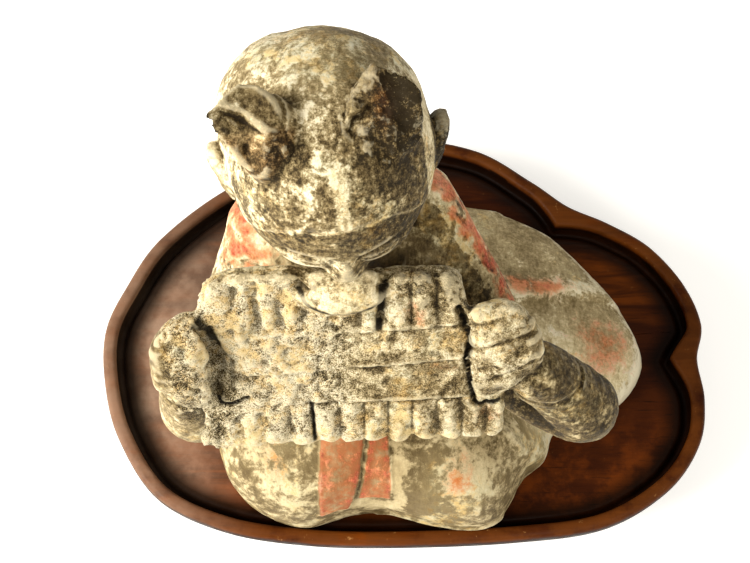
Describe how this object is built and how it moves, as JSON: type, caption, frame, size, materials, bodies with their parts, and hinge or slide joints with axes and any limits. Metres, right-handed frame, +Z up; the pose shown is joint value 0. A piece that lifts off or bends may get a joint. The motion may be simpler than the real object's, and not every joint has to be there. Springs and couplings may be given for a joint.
{
  "type": "terracotta musician figure",
  "caption": "Kneeling pottery musician in a long skirt who holds panpipes to the chin, standing on a low lobed hardwood stand.",
  "frame": {"origin": "middle of the stand's footprint, on the surface that the stand rests on", "axes": "+Z up, the player faces -Y, +X towards the side where the skirt trails"},
  "size_m": [0.1891, 0.136, 0.1978],
  "materials": {
    "terracotta_figure": "matt unglazed clay with worn slip, earth and traces of red pigment",
    "wooden_stand": "dark polished hardwood, worn lighter on the lip"
  },
  "bodies": {
    "root": {"terracotta_figure": "terracotta_figure", "wooden_stand": "wooden_stand"}
  },
  "joints": []
}
